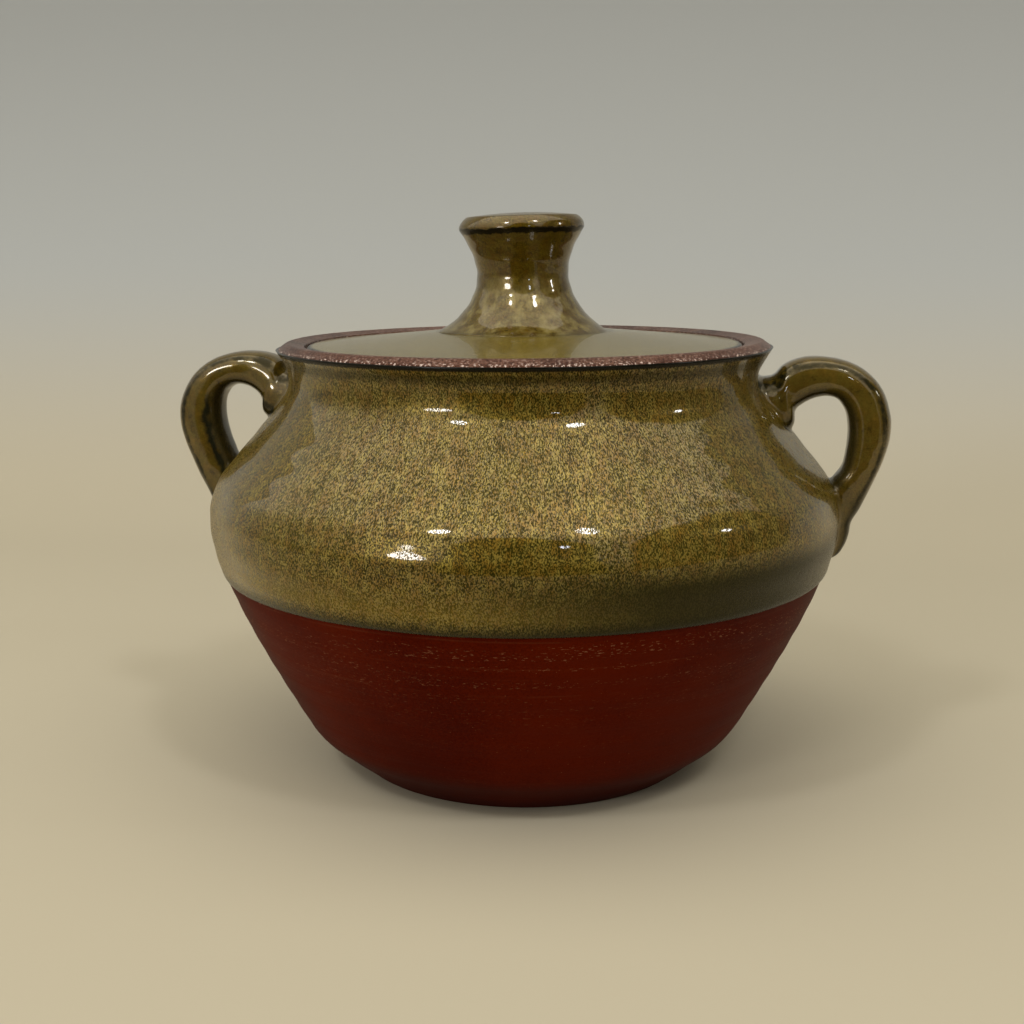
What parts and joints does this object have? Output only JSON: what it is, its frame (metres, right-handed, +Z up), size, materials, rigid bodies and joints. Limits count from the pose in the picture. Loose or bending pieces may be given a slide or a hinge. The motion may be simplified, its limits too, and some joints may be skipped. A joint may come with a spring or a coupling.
{
  "type": "bean pot",
  "caption": "Round-bellied stoneware bean pot with pulled loop handles and a loose lid with a waisted knob, seated in the rim's gallery; glazed above, bare red clay below.",
  "frame": {"origin": "middle of the foot, on the surface the pot stands on", "axes": "+Z up along the pot's axis; +X through the loop of handle_right, -X through handle_left; -Y is the side seen from the front"},
  "size_m": [0.229, 0.1998, 0.1751],
  "materials": {
    "red_stoneware": "unglazed iron-red stoneware, satin-matt, finely turned",
    "olive_glaze": "glossy olive glaze with fine golden speckle, breaking dark on edges"
  },
  "bodies": {
    "pot": {"pot_body": "red_stoneware", "outer_glaze": "olive_glaze", "liner_glaze": "olive_glaze", "handle_left": "olive_glaze", "handle_right": "olive_glaze"},
    "lid": {"lid": "red_stoneware", "lid_glaze": "olive_glaze", "lid_liner_glaze": "olive_glaze", "knob": "olive_glaze"}
  },
  "joints": [
    {"name": "lid_lift", "type": "slide", "parent": "pot", "child": "lid", "axis": [0, 0, 1], "range_m": [0, 0.08]}
  ]
}
